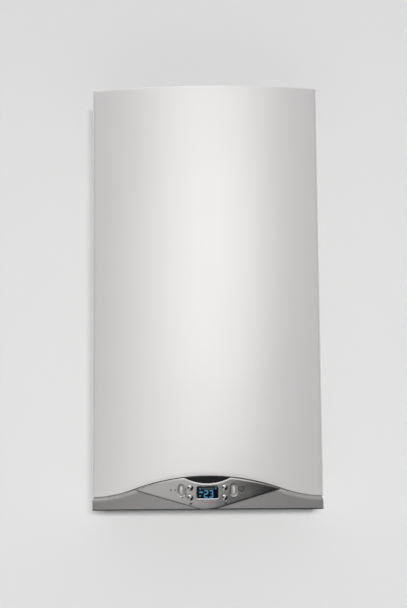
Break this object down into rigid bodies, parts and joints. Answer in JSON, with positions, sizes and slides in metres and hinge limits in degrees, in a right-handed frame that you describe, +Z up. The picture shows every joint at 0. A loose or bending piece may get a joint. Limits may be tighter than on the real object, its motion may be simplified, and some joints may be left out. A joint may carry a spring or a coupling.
{
  "type": "wall-hung combi boiler",
  "caption": "Wall-hung combi boiler with a bowed lift-off cover over a sealed gas burner chamber, and a wavy-topped control panel with display, buttons and thumbwheels that tilts forward.",
  "frame": {"origin": "bottom centre of the back, on the wall plane", "axes": "+Y into the wall, +X to the right of someone facing the boiler, +Z up"},
  "size_m": [0.4, 0.32, 0.758],
  "materials": {
    "cover_paint": "pearl white gloss paint",
    "casing_paint": "white semi-gloss paint",
    "galvanised_steel": "galvanised, matt",
    "burner_steel": "stainless, heat tinted",
    "silver_plastic": "silver-grey metallic plastic",
    "lens_plastic": "bright silver plastic",
    "badge_black": "black gloss, bare",
    "display_window": "dark display window with blue digits",
    "button_metal": "satin chromed plastic",
    "wheel_plastic": "bright silver, ribbed",
    "circuit_board": "green solder mask",
    "box_plastic": "dark grey moulding",
    "black_plastic": "black moulding",
    "red_plastic": "red moulding",
    "vessel_paint": "red enamel",
    "brass": "turned and forged brass",
    "copper": "drawn copper",
    "aluminium": "die cast",
    "motor_steel": "laminated and plated steel",
    "cast_iron": "cataphoretic black",
    "insulation": "white fibre board",
    "electrode_ceramic": "white glazed",
    "sight_pane": "clear",
    "rubber": "black",
    "screw_steel": "zinc plated"
  },
  "bodies": {
    "chassis": {"side_panels": "casing_paint", "top_panel": "casing_paint", "wall_bracket": "galvanised_steel", "back_frame": "galvanised_steel", "lower_rail": "galvanised_steel", "pipe_shelf": "galvanised_steel", "chamber_box": "galvanised_steel", "chamber_front": "galvanised_steel", "combustion_case": "burner_steel", "burner_frame": "burner_steel", "burner_bars": "burner_steel", "flue_hood": "burner_steel", "plate_exchanger": "burner_steel", "diverter_motor": "box_plastic", "pump_motor": "black_plastic", "air_vent": "black_plastic", "expansion_vessel": "vessel_paint", "connection_tails": "brass", "flow_manifold": "brass", "return_manifold": "brass", "gas_manifold": "brass", "exchanger_fins": "copper", "exchanger_tubes": "copper", "flow_pipe": "copper", "return_pipe": "copper", "gas_pipe": "copper", "flue_collar": "aluminium", "gas_valve": "aluminium", "fan_scroll": "aluminium", "fan_motor": "motor_steel", "pump_body": "cast_iron", "insulation_boards": "insulation", "electrodes": "electrode_ceramic", "sight_glass": "sight_pane", "chamber_seal": "rubber", "flue_gasket": "rubber", "vessel_hose": "rubber", "casing_screws": "screw_steel", "cover_screws": "screw_steel"},
    "front_cover": {"front_cover": "cover_paint"},
    "control_panel": {"fascia": "silver_plastic", "control_lens": "lens_plastic", "badge_plate": "badge_black", "display_glass": "display_window", "display_board": "circuit_board", "control_box": "box_plastic", "control_box_lid": "galvanised_steel", "main_board": "circuit_board", "cable_glands": "black_plastic"},
    "button_left_upper": {"button_left_upper": "button_metal"},
    "button_left_lower": {"button_left_lower": "button_metal"},
    "button_right_upper": {"button_right_upper": "button_metal"},
    "button_right_lower": {"button_right_lower": "button_metal"},
    "wheel_left": {"wheel_left": "wheel_plastic"},
    "wheel_right": {"wheel_right": "wheel_plastic"},
    "fan_impeller": {"fan_impeller": "aluminium"},
    "pump_impeller": {"pump_impeller": "cast_iron"},
    "diverter_spindle": {"diverter_spindle": "brass"},
    "filling_tap_lever": {"filling_tap_lever": "brass"},
    "safety_knob": {"safety_knob": "red_plastic"}
  },
  "joints": [
    {"name": "cover_lift", "type": "slide", "parent": "chassis", "child": "front_cover", "axis": [0, 0, 1], "range_m": [0, 0.75]},
    {"name": "panel_tilt", "type": "hinge", "parent": "chassis", "child": "control_panel", "pos_m": [0, -0.268, 0.007], "axis": [1, 0, 0], "range_deg": [0, 90]},
    {"name": "press_left_upper", "type": "slide", "parent": "control_panel", "child": "button_left_upper", "axis": [0, 1, 0], "range_m": [0, 0.0012], "stiffness_N_per_m": 400},
    {"name": "press_left_lower", "type": "slide", "parent": "control_panel", "child": "button_left_lower", "axis": [0, 1, 0], "range_m": [0, 0.0012], "stiffness_N_per_m": 400},
    {"name": "press_right_upper", "type": "slide", "parent": "control_panel", "child": "button_right_upper", "axis": [0, 1, 0], "range_m": [0, 0.0012], "stiffness_N_per_m": 400},
    {"name": "press_right_lower", "type": "slide", "parent": "control_panel", "child": "button_right_lower", "axis": [0, 1, 0], "range_m": [0, 0.0012], "stiffness_N_per_m": 400},
    {"name": "turn_wheel_left", "type": "hinge", "parent": "control_panel", "child": "wheel_left", "pos_m": [-0.0448, -0.30913, 0.0328], "axis": [1, 0, 0], "continuous": true},
    {"name": "turn_wheel_right", "type": "hinge", "parent": "control_panel", "child": "wheel_right", "pos_m": [0.0448, -0.30913, 0.0328], "axis": [1, 0, 0], "continuous": true},
    {"name": "fan_spin", "type": "hinge", "parent": "chassis", "child": "fan_impeller", "pos_m": [-0.051, -0.1415, 0.6], "axis": [0, 1, 0], "continuous": true},
    {"name": "pump_spin", "type": "hinge", "parent": "chassis", "child": "pump_impeller", "pos_m": [0.115, -0.14, 0.11], "axis": [0, 1, 0], "continuous": true},
    {"name": "diverter_slide", "type": "slide", "parent": "chassis", "child": "diverter_spindle", "axis": [0, 0, 1], "range_m": [0, 0.006]},
    {"name": "filling_tap_turn", "type": "hinge", "parent": "chassis", "child": "filling_tap_lever", "pos_m": [0.099, -0.099, 0.075], "axis": [0, -1, 0], "range_deg": [0, 90]},
    {"name": "safety_knob_turn", "type": "hinge", "parent": "chassis", "child": "safety_knob", "pos_m": [0.18, -0.07, 0.095], "axis": [1, 0, 0], "range_deg": [0, 90]}
  ],
  "couplings": [
    {"joint": "panel_tilt", "follows": "cover_lift", "rad_per_m": 2.094}
  ]
}
